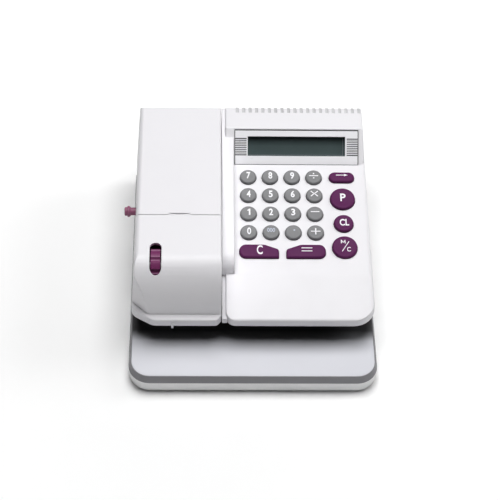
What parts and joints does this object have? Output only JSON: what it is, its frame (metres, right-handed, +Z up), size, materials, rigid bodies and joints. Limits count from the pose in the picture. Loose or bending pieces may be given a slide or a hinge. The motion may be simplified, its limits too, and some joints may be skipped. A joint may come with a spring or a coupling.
{
  "type": "electronic check writer",
  "caption": "Desktop electronic check writer: print tower and sloped keypad head with a display over a flat paper table, opening ink door and working print carriage.",
  "frame": {"origin": "centre of the base at the level of the desk it stands on", "axes": "+X to the operator's right, +Y to the back, +Z up"},
  "size_m": [0.2135, 0.2417, 0.0967],
  "materials": {
    "white_shell": "fine-textured moulded plastic",
    "deck_grey": "fine-textured moulded plastic",
    "table_grey": "smooth satin plate",
    "dark_plastic": "smooth moulded plastic",
    "black_rubber": "matt",
    "screw_steel": "plain",
    "bezel_frame": "smooth label film",
    "lcd_glass": "dark reflective panel",
    "circuit_green": "solder mask",
    "key_grey": "satin",
    "key_purple": "satin",
    "knob_purple": "satin",
    "mat_rubber": "matt",
    "nylon": "moulded nylon",
    "pinion_brass": "machined",
    "motor_can": "drawn can",
    "type_steel": "dark steel",
    "ink_foam": "inked roller"
  },
  "bodies": {
    "machine": {"base_tray": "white_shell", "base_deck": "deck_grey", "paper_table": "table_grey", "rubber_feet": "black_rubber", "base_screws": "screw_steel", "pedestal": "dark_plastic", "head_floor": "dark_plastic", "head_cover": "white_shell", "tower_cover": "white_shell", "head_screws": "screw_steel", "hinge_rod": "screw_steel", "lcd_bezel": "bezel_frame", "lcd_display": "lcd_glass", "keypad_board": "circuit_green", "key_mat": "mat_rubber", "main_board": "circuit_green", "dc_inlet": "dark_plastic", "switch_housing": "dark_plastic", "mechanism_frame": "screw_steel", "guide_rods": "screw_steel", "drive_belt": "black_rubber", "drive_motor": "motor_can"},
    "platen": {"platen_bar": "dark_plastic"},
    "door": {"ink_door": "white_shell"},
    "rocker": {"power_rocker": "dark_plastic"},
    "front_drive": {"front_shaft": "screw_steel", "front_pulley": "nylon", "thumb_wheel": "knob_purple"},
    "rear_drive": {"rear_shaft": "screw_steel", "rear_pulley": "nylon", "drive_gear": "nylon"},
    "pinion": {"motor_pinion": "pinion_brass"},
    "print_carriage": {"carriage": "nylon", "type_motor": "motor_can"},
    "type_turn": {"type_wheel": "type_steel"},
    "ink_turn": {"ink_roller": "ink_foam"},
    "guide": {"guide_knob": "knob_purple", "cheque_guide": "nylon"},
    "key_7": {"key_7": "key_grey"},
    "key_8": {"key_8": "key_grey"},
    "key_9": {"key_9": "key_grey"},
    "key_divide": {"key_divide": "key_grey"},
    "key_4": {"key_4": "key_grey"},
    "key_5": {"key_5": "key_grey"},
    "key_6": {"key_6": "key_grey"},
    "key_multiply": {"key_multiply": "key_grey"},
    "key_1": {"key_1": "key_grey"},
    "key_2": {"key_2": "key_grey"},
    "key_3": {"key_3": "key_grey"},
    "key_minus": {"key_minus": "key_grey"},
    "key_0": {"key_0": "key_grey"},
    "key_000": {"key_000": "key_grey"},
    "key_point": {"key_point": "key_grey"},
    "key_plus": {"key_plus": "key_grey"},
    "key_arrow": {"key_arrow": "key_purple"},
    "key_p": {"key_p": "key_purple"},
    "key_cl": {"key_cl": "key_purple"},
    "key_mc": {"key_mc": "key_purple"},
    "key_c": {"key_c": "key_purple"},
    "key_equals": {"key_equals": "key_purple"}
  },
  "joints": [
    {"name": "key_7_press", "type": "slide", "parent": "machine", "child": "key_7", "axis": [0, 0.1374, -0.9905], "range_m": [0, 0.0018], "stiffness_N_per_m": 300, "springref_m": -0.0005},
    {"name": "key_8_press", "type": "slide", "parent": "machine", "child": "key_8", "axis": [0, 0.1374, -0.9905], "range_m": [0, 0.0018], "stiffness_N_per_m": 300, "springref_m": -0.0005},
    {"name": "key_9_press", "type": "slide", "parent": "machine", "child": "key_9", "axis": [0, 0.1374, -0.9905], "range_m": [0, 0.0018], "stiffness_N_per_m": 300, "springref_m": -0.0005},
    {"name": "key_divide_press", "type": "slide", "parent": "machine", "child": "key_divide", "axis": [0, 0.1374, -0.9905], "range_m": [0, 0.0018], "stiffness_N_per_m": 300, "springref_m": -0.0005},
    {"name": "key_4_press", "type": "slide", "parent": "machine", "child": "key_4", "axis": [0, 0.1374, -0.9905], "range_m": [0, 0.0018], "stiffness_N_per_m": 300, "springref_m": -0.0005},
    {"name": "key_5_press", "type": "slide", "parent": "machine", "child": "key_5", "axis": [0, 0.1374, -0.9905], "range_m": [0, 0.0018], "stiffness_N_per_m": 300, "springref_m": -0.0005},
    {"name": "key_6_press", "type": "slide", "parent": "machine", "child": "key_6", "axis": [0, 0.1374, -0.9905], "range_m": [0, 0.0018], "stiffness_N_per_m": 300, "springref_m": -0.0005},
    {"name": "key_multiply_press", "type": "slide", "parent": "machine", "child": "key_multiply", "axis": [0, 0.1374, -0.9905], "range_m": [0, 0.0018], "stiffness_N_per_m": 300, "springref_m": -0.0005},
    {"name": "key_1_press", "type": "slide", "parent": "machine", "child": "key_1", "axis": [0, 0.1374, -0.9905], "range_m": [0, 0.0018], "stiffness_N_per_m": 300, "springref_m": -0.0005},
    {"name": "key_2_press", "type": "slide", "parent": "machine", "child": "key_2", "axis": [0, 0.1374, -0.9905], "range_m": [0, 0.0018], "stiffness_N_per_m": 300, "springref_m": -0.0005},
    {"name": "key_3_press", "type": "slide", "parent": "machine", "child": "key_3", "axis": [0, 0.1374, -0.9905], "range_m": [0, 0.0018], "stiffness_N_per_m": 300, "springref_m": -0.0005},
    {"name": "key_minus_press", "type": "slide", "parent": "machine", "child": "key_minus", "axis": [0, 0.1374, -0.9905], "range_m": [0, 0.0018], "stiffness_N_per_m": 300, "springref_m": -0.0005},
    {"name": "key_0_press", "type": "slide", "parent": "machine", "child": "key_0", "axis": [0, 0.1374, -0.9905], "range_m": [0, 0.0018], "stiffness_N_per_m": 300, "springref_m": -0.0005},
    {"name": "key_000_press", "type": "slide", "parent": "machine", "child": "key_000", "axis": [0, 0.1374, -0.9905], "range_m": [0, 0.0018], "stiffness_N_per_m": 300, "springref_m": -0.0005},
    {"name": "key_point_press", "type": "slide", "parent": "machine", "child": "key_point", "axis": [0, 0.1374, -0.9905], "range_m": [0, 0.0018], "stiffness_N_per_m": 300, "springref_m": -0.0005},
    {"name": "key_plus_press", "type": "slide", "parent": "machine", "child": "key_plus", "axis": [0, 0.1374, -0.9905], "range_m": [0, 0.0018], "stiffness_N_per_m": 300, "springref_m": -0.0005},
    {"name": "key_arrow_press", "type": "slide", "parent": "machine", "child": "key_arrow", "axis": [0, 0.1374, -0.9905], "range_m": [0, 0.0018], "stiffness_N_per_m": 300, "springref_m": -0.0005},
    {"name": "key_p_press", "type": "slide", "parent": "machine", "child": "key_p", "axis": [0, 0.1374, -0.9905], "range_m": [0, 0.0018], "stiffness_N_per_m": 300, "springref_m": -0.0005},
    {"name": "key_cl_press", "type": "slide", "parent": "machine", "child": "key_cl", "axis": [0, 0.1374, -0.9905], "range_m": [0, 0.0018], "stiffness_N_per_m": 300, "springref_m": -0.0005},
    {"name": "key_mc_press", "type": "slide", "parent": "machine", "child": "key_mc", "axis": [0, 0.1374, -0.9905], "range_m": [0, 0.0018], "stiffness_N_per_m": 300, "springref_m": -0.0005},
    {"name": "key_c_press", "type": "slide", "parent": "machine", "child": "key_c", "axis": [0, 0.1374, -0.9905], "range_m": [0, 0.0018], "stiffness_N_per_m": 300, "springref_m": -0.0005},
    {"name": "key_equals_press", "type": "slide", "parent": "machine", "child": "key_equals", "axis": [0, 0.1374, -0.9905], "range_m": [0, 0.0018], "stiffness_N_per_m": 300, "springref_m": -0.0005},
    {"name": "door_hinge", "type": "hinge", "parent": "machine", "child": "door", "pos_m": [-0.057, 0.114, 0.0915], "axis": [-1, 0, 0], "range_deg": [0, 75]},
    {"name": "carriage_slide", "type": "slide", "parent": "machine", "child": "print_carriage", "axis": [0, 1, 0], "range_m": [-0.055, 0.04]},
    {"name": "front_shaft_turn", "type": "hinge", "parent": "machine", "child": "front_drive", "pos_m": [-0.057, -0.0505, 0.083], "axis": [1, 0, 0], "range_deg": [-443, 323]},
    {"name": "rear_shaft_turn", "type": "hinge", "parent": "machine", "child": "rear_drive", "pos_m": [-0.057, 0.0845, 0.083], "axis": [1, 0, 0], "range_deg": [-443, 323]},
    {"name": "pinion_turn", "type": "hinge", "parent": "machine", "child": "pinion", "pos_m": [-0.057, 0.09382, 0.07189], "axis": [1, 0, 0], "range_deg": [-643, 883]},
    {"name": "type_wheel_turn", "type": "hinge", "parent": "print_carriage", "child": "type_turn", "pos_m": [-0.057, 0.02, 0.0385], "axis": [0, 1, 0], "continuous": true},
    {"name": "ink_roller_turn", "type": "hinge", "parent": "print_carriage", "child": "ink_turn", "pos_m": [-0.057, 0.02, 0.0608], "axis": [0, 1, 0], "continuous": true},
    {"name": "guide_slide", "type": "slide", "parent": "machine", "child": "guide", "axis": [-1, 0, 0], "range_m": [0, 0.005]},
    {"name": "platen_lift", "type": "slide", "parent": "machine", "child": "platen", "axis": [0, 0, 1], "range_m": [0, 0.0035]},
    {"name": "rocker_tip", "type": "hinge", "parent": "machine", "child": "rocker", "pos_m": [0.079, 0.115, 0.06], "axis": [-1, 0, 0], "range_deg": [0, 18]}
  ],
  "couplings": [
    {"joint": "front_shaft_turn", "follows": "carriage_slide", "rad_per_m": 139.63},
    {"joint": "rear_shaft_turn", "follows": "carriage_slide", "rad_per_m": 139.63},
    {"joint": "pinion_turn", "follows": "carriage_slide", "rad_per_m": -279.25},
    {"joint": "ink_roller_turn", "follows": "type_wheel_turn", "ratio": -1.75}
  ]
}
